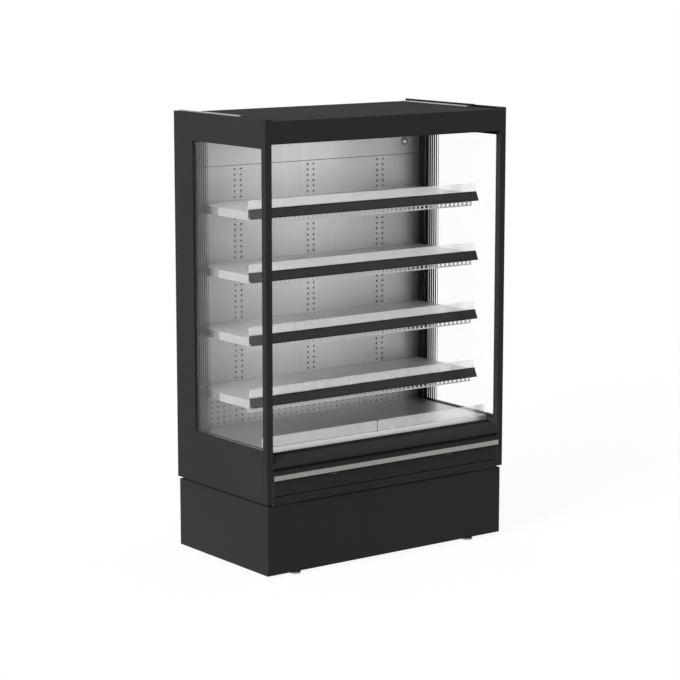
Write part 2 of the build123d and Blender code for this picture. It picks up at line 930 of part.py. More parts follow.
def foot_place(sx, sy):
    return sx * (half_width - foot_side_inset), sy * (frame_half_y() - tube_width / 2)


def levelling_foot(sx, sy):
    """A pad with a neck and a stud that runs up through the frame's boss."""
    x, y = foot_place(sx, sy)
    pad = rod_z(foot_pad_radius, x, y, 0, foot_pad_height)
    pad = chamfer(pad.edges().group_by(Axis.Z)[-1], skin)
    neck_top = foot_pad_height + foot_neck_height
    neck = Pos(x, y, foot_pad_height) * extrude(
        RegularPolygon(foot_neck_radius, 6), foot_neck_height
    )
    stud = rod_z(foot_stud_radius, x, y, neck_top, foot_pad_height + foot_stud_length)
    return pad + neck + stud


# Rear fittings


def wall_spacer(side):
    """A rubber buffer that keeps the air gap behind the cabinet."""
    x, z = side * (half_width - spacer_side_inset), roof_bottom - spacer_below_top
    buffer = rod_y(spacer_radius, x, casing_back, casing_back + spacer_length, z)
    return fillet(buffer.edges().group_by(Axis.Y)[-1], skin)


def supply_gland():
    """The supply entry on the back, low on the right, with no cord in it."""
    z, y = side_bottom + gland_rise, casing_back
    flange = rod_y(gland_flange_radius, gland_x, y, y + gland_flange_thickness, z)
    nut_back = y + gland_flange_thickness
    nut = rod_y(gland_nut_radius, gland_x, nut_back, nut_back + gland_nut_length, z)
    nut = chamfer(nut.edges().group_by(Axis.Y)[-1], skin)
    bore = rod_y(cord_hole_radius, gland_x, y, nut_back + gland_nut_length, z)
    return flange + nut - bore


def rear_screws():
    """Pan-head screws down both edges of the rear casing."""
    low, high = side_bottom + screw_margin, roof_bottom - screw_margin
    screws = []
    for side in (-1, 1):
        for n in range(screws_up):
            z = low + (high - low) * n / (screws_up - 1)
            x = side * (side_inner - screw_margin)
            screw = rod_y(screw_radius, x, casing_back, casing_back + screw_head, z)
            screws.append(chamfer(screw.edges().group_by(Axis.Y)[-1], screw_head / 2))
    return screws


# Build every node

os.makedirs("parts", exist_ok=True)

for node, shape in (
    ("side_panel", side_panel()),
    ("front_post", front_post()),
    ("side_glass", side_glass()),
    ("deck_plate", deck_plate()),
):
    save(f"{node}_right", shape)
    save(f"{node}_left", mirrored(shape))

save("glass_gaskets", glass_gasket(), mirrored(glass_gasket()))
save("side_cheeks", side_cheek(), mirrored(side_cheek()))
save("roof_panel", roof_panel())
save("canopy_fascia", canopy_fascia())
save("soffit_panel", soffit_panel())
save("lamp_profile", lamp_profile())
save("lamp_diffuser", lamp_diffuser())
save("roof_rails", roof_rail(), mirrored(roof_rail()))
save("rail_end_caps", rail_end_cap(), mirrored(rail_end_cap()))
save("rear_casing", rear_casing())
save("back_wall_upper", upper_wall())
save("back_wall_lower", lower_wall())
save("sensor_port", sensor_port())
save("slotted_uprights", *[slotted_upright(x) for x in upright_columns()])

tray, pan, strip = shelf_tray(), shelf_pan(), ticket_strip()
for number in range(shelf_count):
    lift = Pos(0, 0, shelf_height(number))
    save(f"shelf_tray_{number + 1}", lift * tray)
    save(f"shelf_pan_{number + 1}", lift * pan)
    save(f"ticket_strip_{number + 1}", lift * strip)

save("base_tub", *base_tub())
save("fan_motors", *[fan_motor(x) for x in fan_places()])
for name, x in zip(("left", "right"), fan_places()):
    save(f"fan_rotor_{name}", fan_rotor(x))
hairpins = [heater_hairpin(n) for n in range(heater_count)]
bracket_x = post_inner - heater_bracket_inset
brackets = [heater_bracket(x) for x in (-bracket_x, 0, bracket_x)]
save("heater_coils", *hairpins, *brackets)
save("front_nose", front_nose())
save("bumper_carrier", bumper_carrier())
save("bumper_strip", bumper_strip())
save("lower_band", lower_band())
save("service_panel", service_panel())
for name, x in zip(("left", "right"), lock_places()):
    save(f"key_lock_{name}", key_lock(x))
save("control_box", control_box())
save("thermostat_knob", thermostat_knob())
save("main_switch", main_switch())

save("plinth_cover", plinth_cover())
save("plinth_rear", plinth_rear())
save("plinth_frame", *plinth_frame())
for row, sy in (("front", -1), ("rear", 1)):
    for name, sx in (("left", -1), ("right", 1)):
        save(f"foot_{row}_{name}", levelling_foot(sx, sy))

save("wall_spacers", wall_spacer(-1), wall_spacer(1))
save("supply_gland", supply_gland())
save("rear_screws", *rear_screws())
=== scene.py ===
import math

import bmesh
import bpy
from mathutils import Matrix, Vector


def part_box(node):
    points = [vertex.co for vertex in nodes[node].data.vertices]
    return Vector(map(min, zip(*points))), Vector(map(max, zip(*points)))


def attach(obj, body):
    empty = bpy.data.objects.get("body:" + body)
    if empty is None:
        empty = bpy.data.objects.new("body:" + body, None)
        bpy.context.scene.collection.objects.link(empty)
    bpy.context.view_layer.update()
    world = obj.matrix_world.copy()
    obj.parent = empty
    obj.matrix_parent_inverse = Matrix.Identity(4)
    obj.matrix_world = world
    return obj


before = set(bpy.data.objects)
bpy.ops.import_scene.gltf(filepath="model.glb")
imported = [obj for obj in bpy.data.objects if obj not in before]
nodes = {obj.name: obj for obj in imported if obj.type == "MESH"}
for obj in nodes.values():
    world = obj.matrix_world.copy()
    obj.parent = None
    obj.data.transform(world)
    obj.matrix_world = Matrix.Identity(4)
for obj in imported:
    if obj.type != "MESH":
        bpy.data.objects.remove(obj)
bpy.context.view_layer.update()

MM = 0.001


# Camera: the photograph's viewing angle

camera_data = bpy.data.cameras.new("camera")
camera_data.lens = 120.838
camera_data.sensor_width = 36
camera_data.clip_start = 0.1
camera_data.clip_end = 600
camera = bpy.data.objects.new("camera", camera_data)
camera.location = (-6.12607, -8.22999, 2.70482)
camera.rotation_euler = (math.radians(80.2573), 0, math.radians(-36.618))
bpy.context.scene.collection.objects.link(camera)
bpy.context.scene.camera = camera


# Shader helpers


def start(name):
    """A new material with its tree and Principled shader."""
    made = bpy.data.materials.new(name)
    made.use_nodes = True
    return made, made.node_tree, made.node_tree.nodes["Principled BSDF"]


def add(tree, kind, **settings):
    """A new node, with its own settings."""
    node = tree.nodes.new(kind)
    for key, value in settings.items():
        setattr(node, key, value)
    return node


def noise(tree, scale, detail=2.0, stretch=(1, 1, 1), distortion=0.0):
    """The value of a noise in the object's own space, finer along the axes that stretch names."""
    coords = add(tree, "ShaderNodeTexCoord")
    place = add(tree, "ShaderNodeMapping")
    place.inputs["Scale"].default_value = stretch
    tree.links.new(coords.outputs["Object"], place.inputs["Vector"])
    texture = add(tree, "ShaderNodeTexNoise")
    texture.inputs["Scale"].default_value = scale
    texture.inputs["Detail"].default_value = detail
    texture.inputs["Distortion"].default_value = distortion
    tree.links.new(place.outputs["Vector"], texture.inputs["Vector"])
    return texture.outputs["Fac"]


def spread(tree, value, low, high, start_at=0.3, end_at=0.7):
    """Maps a value that runs from start_at to end_at onto the range from low to high."""
    node = add(tree, "ShaderNodeMapRange")
    node.inputs["From Min"].default_value = start_at
    node.inputs["From Max"].default_value = end_at
    node.inputs["To Min"].default_value = low
    node.inputs["To Max"].default_value = high
    tree.links.new(value, node.inputs["Value"])
    return node.outputs["Result"]


def math_node(tree, operation, one, two):
    """One operation on a socket and on another socket or a number."""
    node = add(tree, "ShaderNodeMath", operation=operation)
    tree.links.new(one, node.inputs[0])
    if isinstance(two, (int, float)):
        node.inputs[1].default_value = two
    else:
        tree.links.new(two, node.inputs[1])
    return node.outputs[0]


def blend_colour(tree, factor, one, two):
    """Mixes two colours; each is a tuple or a socket."""
    node = add(tree, "ShaderNodeMix", data_type="RGBA")
    tree.links.new(factor, node.inputs["Factor"])
    for name, colour in (("A", one), ("B", two)):
        socket = next(s for s in node.inputs if s.name == name and s.type == "RGBA")
        if isinstance(colour, tuple):
            socket.default_value = (*colour, 1)
        else:
            tree.links.new(colour, socket)
    return next(s for s in node.outputs if s.type == "RGBA")


def blend_shaders(tree, factor, one, two):
    """The first shader where the factor is 0, and the second where it is 1."""
    node = add(tree, "ShaderNodeMixShader")
    tree.links.new(factor, node.inputs["Fac"])
    tree.links.new(one, node.inputs[1])
    tree.links.new(two, node.inputs[2])
    return node.outputs["Shader"]


def show(tree, shader):
    """Makes a shader the material's surface."""
    output = next(n for n in tree.nodes if n.type == "OUTPUT_MATERIAL")
    tree.links.new(shader, output.inputs["Surface"])


def tint(colour, amount):
    """A colour made darker or lighter."""
    return tuple(channel * amount for channel in colour)


def grey(level):
    """An opaque grey for a colour input."""
    return (level, level, level, 1)


def bump(tree, shader, height, strength, distance, normal=None):
    """Raises a fine texture on a shader's normal."""
    node = add(tree, "ShaderNodeBump")
    node.inputs["Strength"].default_value = strength
    node.inputs["Distance"].default_value = distance
    tree.links.new(height, node.inputs["Height"])
    if normal is not None:
        tree.links.new(normal, node.inputs["Normal"])
    tree.links.new(node.outputs["Normal"], shader.inputs["Normal"])


def rounded(tree, radius):
    """The softened normal near edges, and a mask that is 1 on them."""
    soft = add(tree, "ShaderNodeBevel", samples=4)
    soft.inputs["Radius"].default_value = radius
    geometry = add(tree, "ShaderNodeNewGeometry")
    dot = add(tree, "ShaderNodeVectorMath", operation="DOT_PRODUCT")
    tree.links.new(soft.outputs["Normal"], dot.inputs[0])
    tree.links.new(geometry.outputs["Normal"], dot.inputs[1])
    edge = spread(tree, dot.outputs["Value"], 1, 0, 0.80, 0.995)
    return soft.outputs["Normal"], edge


def facing_up(tree):
    """A mask that is 1 on faces that look up."""
    geometry = add(tree, "ShaderNodeNewGeometry")
    split = add(tree, "ShaderNodeSeparateXYZ")
    tree.links.new(geometry.outputs["Normal"], split.inputs["Vector"])
    return spread(tree, split.outputs["Z"], 0, 1, 0.6, 0.9)


def toward_ends(tree, near, far, shift):
    """A mask along X that is 0 within near of the middle and 1 beyond far, moved by shift."""
    coords = add(tree, "ShaderNodeTexCoord")
    split = add(tree, "ShaderNodeSeparateXYZ")
    tree.links.new(coords.outputs["Object"], split.inputs["Vector"])
    moved = math_node(tree, "ADD", split.outputs["X"], shift)
    ramp = add(tree, "ShaderNodeMapRange", interpolation_type="SMOOTHSTEP")
    ramp.inputs["From Min"].default_value = near
    ramp.inputs["From Max"].default_value = far
    tree.links.new(math_node(tree, "ABSOLUTE", moved, 0), ramp.inputs["Value"])
    return ramp.outputs["Result"]


def directly_seen(tree):
    """1 for what the camera sees, also through glass and in a reflection, and 0 for other light."""
    path = add(tree, "ShaderNodeLightPath")
    seen = math_node(tree, "MAXIMUM", path.outputs["Is Camera Ray"], path.outputs["Is Glossy Ray"])
    return math_node(tree, "MAXIMUM", seen, path.outputs["Is Transmission Ray"])


# Materials


def coat(name, colour, roughness=0.82, specular=0.02):
    """Textured powder coat on folded sheet, paler along its edges as wear and as a painted edge
    highlight.
    """
    made, tree, shader = start(name)
    normal, edge = rounded(tree, 0.0022)
    broad = spread(tree, noise(tree, 1.7, 4), 0, 1)
    body = blend_colour(tree, broad, tint(colour, 0.93), tint(colour, 1.07))
    flecks = spread(tree, noise(tree, 260, 2), 0, 0.35, 0.45, 0.75)
    body = blend_colour(tree, flecks, body, tint(colour, 1.45))
    # Paler edges: partly wear, partly a painted edge highlight.
    worn_and_highlit = math_node(tree, "MULTIPLY", edge, spread(tree, noise(tree, 38, 5), 0.08, 0.4))
    body = blend_colour(tree, worn_and_highlit, body, tint(colour, 2.0))
    tree.links.new(body, shader.inputs["Base Color"])
    rough = spread(tree, noise(tree, 7, 5), roughness - 0.05, roughness + 0.06)
    tree.links.new(rough, shader.inputs["Roughness"])
    shader.inputs["Specular IOR Level"].default_value = specular
    bump(tree, shader, noise(tree, 620, 3), 0.18, 0.0002, normal)
    return made


def brushed(name, colour, stretch, roughness=0.34, metallic=0.85, patches=0.10, grain=0.10,
            top_light=0.0, end_shade=0.0):
    """Brushed stainless sheet: fine lines along one axis and cloudy patches. Faces that look up are
    painted paler and less metallic as painted light from above, and the ends are painted darker as
    painted shade."""
    made, tree, shader = start(name)
    lines = noise(tree, 1.0, 5, stretch)
    coarse = noise(tree, 0.22, 3, stretch)
    cloud = spread(tree, noise(tree, 2.6, 4, distortion=0.6), 0, 1)
    body = blend_colour(tree, cloud, tint(colour, 1 - patches), tint(colour, 1 + patches))
    dark = spread(tree, lines, 0, 0.8, 0.35, 0.7)
    body = blend_colour(tree, dark, body, tint(colour, 1 - 2 * grain))
    light = spread(tree, coarse, 0, 0.5, 0.4, 0.7)
    body = blend_colour(tree, light, body, tint(colour, 1 + grain))
    # Painted shade: the sheet is made darker toward its ends.
    if end_shade:
        end_shading = math_node(tree, "MULTIPLY", toward_ends(tree, 0.05, 0.58, 0.05), end_shade)
        body = blend_colour(tree, end_shading, body, tint(colour, 0.35))
    shader.inputs["Metallic"].default_value = metallic
    # Painted light: faces that look up are made paler and less metallic, as if lit from above.
    if top_light:
        pale = math_node(tree, "MULTIPLY", facing_up(tree), top_light)
        body = blend_colour(tree, pale, body, (0.97, 0.97, 0.965))
        dull = spread(tree, facing_up(tree), metallic, 0.6, 0, 1)
        tree.links.new(dull, shader.inputs["Metallic"])
    tree.links.new(body, shader.inputs["Base Color"])
    smear = spread(tree, noise(tree, 4.5, 5, distortion=1.2), -0.05, 0.06)
    rough = math_node(tree, "ADD", spread(tree, lines, roughness - 0.05, roughness + 0.08), smear)
    tree.links.new(rough, shader.inputs["Roughness"])
    bump(tree, shader, lines, 0.10, 0.0001)
    return made


def zinc(name, colour, roughness=0.42, metallic=0.8, size=55):
    """Zinc-coated steel with its spangle."""
    made, tree, shader = start(name)
    coords = add(tree, "ShaderNodeTexCoord")
    cells = add(tree, "ShaderNodeTexVoronoi")
    cells.inputs["Scale"].default_value = size
    tree.links.new(coords.outputs["Object"], cells.inputs["Vector"])
    split = add(tree, "ShaderNodeSeparateColor")
    tree.links.new(cells.outputs["Color"], split.inputs["Color"])
    spangle = split.outputs["Red"]
    body = blend_colour(tree, spangle, tint(colour, 0.86), tint(colour, 1.12))
    stains = spread(tree, noise(tree, 6, 5), 0, 0.5, 0.5, 0.8)
    body = blend_colour(tree, stains, body, tint(colour, 0.7))
    tree.links.new(body, shader.inputs["Base Color"])
    rough = spread(tree, spangle, roughness - 0.08, roughness + 0.1, 0, 1)
    tree.links.new(rough, shader.inputs["Roughness"])
    shader.inputs["Metallic"].default_value = metallic
    bump(tree, shader, noise(tree, 400, 3), 0.12, 0.0001)
    return made


def moulded(name, colour, roughness=0.45, specular=0.4, grain=900):
    """Moulded plastic or rubber with a fine grain."""
    made, tree, shader = start(name)
    normal, edge = rounded(tree, 0.0008)
    broad = spread(tree, noise(tree, 11, 4), 0, 1)
    body = blend_colour(tree, broad, tint(colour, 0.88), tint(colour, 1.12))
    scuffs = math_node(tree, "MULTIPLY", edge, spread(tree, noise(tree, 60, 4), 0.0, 0.5))
    body = blend_colour(tree, scuffs, body, tint(colour, 1.9))
    tree.links.new(body, shader.inputs["Base Color"])
    rough = spread(tree, noise(tree, 25, 5), roughness - 0.06, roughness + 0.08)
    tree.links.new(rough, shader.inputs["Roughness"])
    shader.inputs["Specular IOR Level"].default_value = specular
    bump(tree, shader, noise(tree, grain, 2), 0.15, 0.0001, normal)
    return made


def clear(name):
    """The start of a clear material: a smooth shader that lets everything through."""
    made, tree, shader = start(name)
    shader.inputs["Base Color"].default_value = grey(1)
    shader.inputs["Transmission Weight"].default_value = 1
    shader.inputs["Roughness"].default_value = 0
    shader.inputs["IOR"].default_value = 1.1
    return made, tree, shader


def let_light_through(tree, shader, tone):
    """Makes a clear shader the surface, with shadows that are only a grey tone."""
    shade = add(tree, "ShaderNodeBsdfTransparent")
    shade.inputs["Color"].default_value = grey(tone)
    path = add(tree, "ShaderNodeLightPath")
    show(tree, blend_shaders(tree, path.outputs["Is Shadow Ray"], shader, shade.outputs["BSDF"]))


def pane(name):
    """Clear glass that lets light through to what it covers, with a trace of dust."""
    made, tree, shader = clear(name)
    dust = add(tree, "ShaderNodeBsdfDiffuse")
    dust.inputs["Color"].default_value = grey(0.8)
    film = spread(tree, noise(tree, 14, 6, distortion=0.8), 0.0, 0.008)
    dusty = blend_shaders(tree, film, shader.outputs["BSDF"], dust.outputs["BSDF"])
    let_light_through(tree, dusty, 0.6)
    return made


def acrylic(name):
    """Clear plastic that picks up some of the light around it, with wiping marks."""
    made, tree, shader = clear(name)
    sheen = add(tree, "ShaderNodeBsdfGlossy")
    sheen.inputs["Color"].default_value = grey(1)
    tree.links.new(spread(tree, noise(tree, 9, 2), 0.28, 0.34), sheen.inputs["Roughness"])
    marks = spread(tree, noise(tree, 6, 2), 0.24, 0.28)
    hazy = blend_shaders(tree, marks, shader.outputs["BSDF"], sheen.outputs["BSDF"])
    let_light_through(tree, hazy, 0.85)
    return made


def diffuser(name):
    """Opal plastic over a row of small lamps."""
    made, tree, shader = start(name)
    coords = add(tree, "ShaderNodeTexCoord")
    wave = add(tree, "ShaderNodeTexWave", wave_type="BANDS", bands_direction="X")
    wave.inputs["Scale"].default_value = 18
    wave.inputs["Distortion"].default_value = 0.2
    tree.links.new(coords.outputs["Object"], wave.inputs["Vector"])
    body = blend_colour(tree, wave.outputs["Fac"], (0.62, 0.62, 0.60), (0.84, 0.84, 0.82))
    tree.links.new(body, shader.inputs["Base Color"])
    rough = spread(tree, noise(tree, 30, 4), 0.35, 0.5)
    tree.links.new(rough, shader.inputs["Roughness"])
    bump(tree, shader, noise(tree, 500, 2), 0.1, 0.0001)
    return made


def heated(name):
    """Sheathed heater tube, tinted by heat along its length."""
    made, tree, shader = start(name)
    tone = spread(tree, noise(tree, 9, 4), 0, 1)
    body = blend_colour(tree, tone, (0.10, 0.085, 0.075), (0.21, 0.17, 0.13))
    tree.links.new(body, shader.inputs["Base Color"])
    shader.inputs["Metallic"].default_value = 0.7
    rough = spread(tree, noise(tree, 120, 4), 0.4, 0.6)
    tree.links.new(rough, shader.inputs["Roughness"])
    bump(tree, shader, noise(tree, 500, 3), 0.12, 0.0001)
    return made


ALONG_X = (4, 900, 900)
ALONG_Z = (900, 900, 4)
CHARCOAL = (0.0465, 0.0465, 0.0470)

looks = {
    "anthracite_paint": coat("anthracite_powder_coat", CHARCOAL),
    "stainless_wall": brushed(
        "wall_steel", (0.75, 0.755, 0.76), ALONG_Z, 0.38, 0.92, 0.05, 0.06, end_shade=0.68
    ),
    "stainless_deck": brushed("deck_steel", (0.74, 0.75, 0.76), ALONG_X, 0.38, 0.84, 0.05, 0.06),
    "stainless_strip": brushed("strip_steel", (0.335, 0.317, 0.300), ALONG_X, 0.36, 0.85),
    "light_steel": brushed(
        "shelf_steel", (0.61, 0.61, 0.60), ALONG_X, 0.44, 0.85, 0.04, 0.05, top_light=0.75
    ),
    "galvanised": zinc("galvanised_steel", (0.42, 0.43, 0.44)),
    "ticket_plastic": moulded("ticket_plastic_black", (0.018, 0.018, 0.0185), 0.42, 0.30),
    "cap_plastic": moulded("cap_plastic_black", (0.012, 0.012, 0.012), 0.5, 0.3),
    "control_plastic": moulded("control_plastic_black", (0.018, 0.018, 0.019), 0.4),
    "lock_metal": zinc("lock_metal_dark", (0.012, 0.012, 0.0125), 0.5, 0.2, 400),
    "fan_metal": zinc("fan_metal_grey", (0.30, 0.31, 0.32), 0.45, 0.75, 90),
    "heater_metal": heated("heater_sheath"),
    "clear_glass": pane("clear_pane"),
    "gasket_rubber": moulded("gasket_rubber_black", (0.010, 0.010, 0.010), 0.75, 0.2),
    "spacer_rubber": moulded("spacer_rubber_black", (0.014, 0.014, 0.014), 0.8, 0.2),
    "lamp_diffuser": diffuser("opal_diffuser"),
    "foot_steel": zinc("zinc_foot_steel", (0.46, 0.45, 0.42), 0.36, 0.85, 300),
}

for node in nodes.values():
    slot = node.material_slots[0].material.name
    for place in node.material_slots:
        place.material = looks[slot]


# Shape helpers: all take millimetres


def box_mm(node):
    """The lowest and highest corners of a CAD node, in millimetres."""
    low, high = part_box(node)
    return low / MM, high / MM


def slab(mesh, low, high):
    """Adds a block between two corners."""
    low, high = Vector(low) * MM, Vector(high) * MM
    middle, size = (low + high) / 2, high - low
    matrix = Matrix.Translation(middle) @ Matrix.Diagonal((*size, 1))
    bmesh.ops.create_cube(mesh, size=1, matrix=matrix)


def side_slab(mesh, side, inner, outer, front, back, low, high):
    """Adds a block on the cabinet's left (-1) or right (1) side."""
    x0, x1 = sorted((side * inner, side * outer))
    slab(mesh, (x0, front, low), (x1, back, high))


def ring(mesh, points):
    """Adds the vertices of an outline."""
    return [mesh.verts.new(Vector(point) * MM) for point in points]


def band(mesh, one, two):
    """Joins two rings with faces."""
    count = len(one)
    for n in range(count):
        after = (n + 1) % count
        mesh.faces.new((one[after], one[n], two[n], two[after]))


def closed(mesh, one, two):
    """Adds a closed form between two outlines of as many points."""
    one, two = ring(mesh, one), ring(mesh, two)
    mesh.faces.new(one)
    mesh.faces.new(reversed(two))
    band(mesh, one, two)


def run(mesh, outline, x0, x1):
    """Adds a run along X of an outline of (y, z) points."""
    closed(mesh, [(x0, y, z) for y, z in outline], [(x1, y, z) for y, z in outline])


def piece(name, mesh, body, look, edge=0.3):
    """Makes a trim piece from a bmesh, rounds its edges and seats it on its body."""
    bmesh.ops.recalc_face_normals(mesh, faces=mesh.faces)
    data = bpy.data.meshes.new(name)
    mesh.to_mesh(data)
    mesh.free()
    made = bpy.data.objects.new(name, data)
    bpy.context.scene.collection.objects.link(made)
    made.data.materials.append(look)
    if edge:
        bevel = made.modifiers.new("edges", "BEVEL")
        bevel.width = edge * MM
        bevel.segments = 2
        bevel.limit_method = "ANGLE"
        bevel.angle_limit = math.radians(40)
    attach(made, body)
    return made


# Sizes and places of the trim, in millimetres

pane_low, pane_high = box_mm("side_glass_right")
wall_low, wall_high = box_mm("side_panel_right")
PANE_INNER = pane_low.x
PANE_OUTER = pane_high.x
PANE_BOTTOM = pane_low.z
PANE_TOP = pane_high.z
PANE_REAR = pane_high.y
GLASS_OVERLAP = 10  # pane behind the edge of the window
GLASS_GAP = 0.5  # outer pane to the window's edge
WINDOW_BOTTOM = PANE_BOTTOM + GLASS_OVERLAP
WINDOW_TOP = PANE_TOP - GLASS_OVERLAP
WINDOW_FRONT = pane_low.y + GLASS_GAP
WINDOW_MARGIN = 149  # window to the back of the side panel
WINDOW_REAR = wall_high.y - WINDOW_MARGIN - GLASS_GAP
OUTER_PANE_INSET = 5
OUTER_PANE = wall_low.x + OUTER_PANE_INSET

DECK_TOP = box_mm("deck_plate_left")[1].z
LIP_OVERHANG = 5  # deck's lip behind the start of the curved nose
NOSE_RUN = 84

TRAY_FLANGE = 36  # a shelf's top to its lower edge
SHELF_COUNT = 4
SHELF_HALF = box_mm("shelf_tray_1")[1].x
TICKET_GAP = 0.5  # tray to its ticket strip
TICKET_Y = box_mm("shelf_tray_1")[0].y - TICKET_GAP
TICKET_RISE = 9
TICKET_DROP = 31
TICKET_EDGE = 3
TICKET_RUN = 22
RAIL_WALL = 8

PRINT_FACE, PRINT_BACK = 0.2, 0.05  # print in front of its pane
PRINT_MARGIN = 1
INNER_BANDS = ((203, PANE_REAR - 0.5),)
FRAME_BAND = (194.5, WINDOW_REAR - 0.2)
STRIPES = ((187, 15), (171, 13.5), (155.5, 12.5), (140, 11.5), (124.5, 9.5), (109, 4.5))
OUTER_BANDS = (FRAME_BAND, *((y - width / 2, y + width / 2) for y, width in STRIPES))

STOP_THICKNESS = 2.5
STOP_HEIGHT = 48
STOP_CORNER = 9
STOP_LIFT = 0.2  # stop over the sheet it stands on
SHELF_STOP_SETBACK = 4.6
SHELF_STOP_INSET = 1
DECK_STOP_SETBACK = 8
DECK_STOP_INSET = 2

BRACKET_BLOCKS = (
    # inner and outer face behind the tray's end, front and rear, drop of the top, rise of the foot
    (5.4, 2.2, 50.2, 84, 1.7, 0),
    (6.4, 4, 84.5, 92.5, 2, 1),
    (5.9, 3, 93, 119.5, 1.7, 0),
    (5.9, 3, 122.5, 161, 1.7, 0),
    (5.9, 3, 164, 235, 1.7, 0),
)
BRACKET_TOE = 1  # below the tray's flange
SCREW_PLACES = (67, 106, 142, 200)
SCREW_INSET = 3
SCREW_DROP = 19
SCREW_RADIUS = 3.2
SCREW_HEAD = 1.9

UPRIGHTS = (-400, 0, 400)
SHADE_SHEET_GAP = 33  # shade sheet to the middle of an upright
SHADE_SHEET_END = 622
SHADE_SHEET_THICKNESS = 1
SHADE_SHEET_FRONT_GAP = 1  # to the shelf wall
SHADE_SHEET_BACK_GAP = 0.4  # to the casing
SHADE_SHEET_RISE = 6
SHADE_SHEET_HEIGHT = 166  # of the shade sheets behind the vents in the wall's foot

CASING_LAPS = (770, 1390)
LAP_WIDTH = 22
RIB_PLACES = (-420, -140, 140, 420)
RIB_BOTTOM, RIB_TOP = 360, 1900
RIB_GAP = 30  # rib's end to the middle of a lap
RIB_HALF = 9


# Trim that the solids leave out, and dark pieces that paint shade


def outer_pane(side):
    """The second pane of the double glazing, set into the window of the side wall."""
    mesh = bmesh.new()
    thickness = PANE_OUTER - PANE_INNER
    side_slab(mesh, side, OUTER_PANE, OUTER_PANE + thickness, WINDOW_FRONT, WINDOW_REAR,
              WINDOW_BOTTOM + GLASS_GAP, WINDOW_TOP - GLASS_GAP)
    return mesh


def glass_print(side, bands, face, low, high):
    """Enamel bands on the inner face of a pane."""
    mesh = bmesh.new()
    for front, back in bands:
        side_slab(mesh, side, face - PRINT_FACE, face - PRINT_BACK, front, back,
                  low + PRINT_MARGIN, high - PRINT_MARGIN)
    return mesh


def show_outside(made, side, look):
    """Gives the faces that look out of the cabinet another look."""
    made.data.materials.append(look)
    for polygon in made.data.polygons:
        if polygon.normal.x * side > 0.9:
            polygon.material_index = 1


def glazing_channel(side):
    """The channel that the pane stands in, beside the deck, with its rib."""
    mesh = bmesh.new()
    front, back, outer = WINDOW_FRONT, PANE_REAR - 1, PANE_INNER - 0.1
    wall, rise = 2.5, 5
    rib_reach, rib_low, rib_high = 4.3, DECK_TOP + 1.2, DECK_TOP + 3
    side_slab(mesh, side, outer - wall, outer, front, back, PANE_BOTTOM, DECK_TOP + rise)
    side_slab(mesh, side, outer - rib_reach, outer, front, back, rib_low, rib_high)
    return mesh


def spacer_bar(side):
    """The warm-edge bar between the two panes, along three sides of the window."""
    mesh = bmesh.new()
    inner, outer = PANE_OUTER + 0.6, OUTER_PANE - 0.3
    margin, width = 0.4, 1.2
    low, high, rear = WINDOW_BOTTOM + margin, WINDOW_TOP - margin, WINDOW_REAR
    side_slab(mesh, side, inner, outer, rear - width, rear, low, high)
    side_slab(mesh, side, inner, outer, WINDOW_FRONT, rear - width, low, low + width)
    side_slab(mesh, side, inner, outer, WINDOW_FRONT, rear - width, high - width, high)
    return mesh


def rail_shade_strip(side):
    """A dark strip on the inner face of a rail's web, as painted shade."""
    mesh = bmesh.new()
    low, high = box_mm("roof_rails")
    face = high.x - RAIL_WALL
    thickness, end_gap, rise, drop = 0.6, 1, 3.4, 0.8
    side_slab(mesh, side, face - thickness, face, low.y + end_gap, high.y - end_gap,
              low.z + rise, high.z - drop)
    return mesh


def lip_shade_strip():
    """A dark strip on the nose's curve, under the lip of the deck, as painted shade of the lip."""
    mesh = bmesh.new()
    low, high = box_mm("front_nose")
    deck_low, _ = box_mm("deck_plate_left")
    rise, start_y, end_gap = high.z - low.z, deck_low.y + LIP_OVERHANG, 1
    steps, step_angle = 8, 3.2
    proud, lift, depth = 0.9, 0.3, 0.4
    outer, inner = [], []
    for n in range(steps + 1):
        angle = math.radians(90 + step_angle * n)
        across, up = math.cos(angle), math.sin(angle)
        outer.append((start_y + (NOSE_RUN + proud) * across, low.z + (rise + lift) * up))
        inner.append((start_y + (NOSE_RUN - depth) * across, low.z + (rise - depth) * up))
    run(mesh, outer + inner[::-1], low.x + end_gap, high.x - end_gap)
    return mesh


def wall_seam():
    """The dark joint between the upper and lower sheets of the shelf wall, widened onto the sheets as
    painted shade of the fold.
    """
    mesh = bmesh.new()
    low, high = box_mm("back_wall_upper")
    end_gap, proud, depth, below, above = 1, 0.4, 0.3, 1.6, 0.6
    slab(mesh, (low.x + end_gap, low.y - proud, low.z - below),
         (high.x - end_gap, low.y + depth, low.z + above))
    return mesh


def duct_shade_sheets():
    """Black sheets behind the holes in the shelf wall: painted shade of the air duct seen through
    them.
    """
    mesh = bmesh.new()
    bottom = DECK_TOP + SHADE_SHEET_RISE
    _, upper_high = box_mm("back_wall_upper")
    _, lower_high = box_mm("back_wall_lower")
    casing_low, _ = box_mm("rear_casing")
    face, back = upper_high.y + SHADE_SHEET_FRONT_GAP, casing_low.y - SHADE_SHEET_BACK_GAP
    starts = (-SHADE_SHEET_END, *(x + SHADE_SHEET_GAP for x in UPRIGHTS))
    ends = (*(x - SHADE_SHEET_GAP for x in UPRIGHTS), SHADE_SHEET_END)
    for x0, x1 in zip(starts, ends):
        slab(mesh, (x0, face, bottom), (x1, face + SHADE_SHEET_THICKNESS, bottom + SHADE_SHEET_HEIGHT))
    slab(mesh, (-SHADE_SHEET_END, back - SHADE_SHEET_THICKNESS, bottom), (SHADE_SHEET_END, back, lower_high.z))
    return mesh


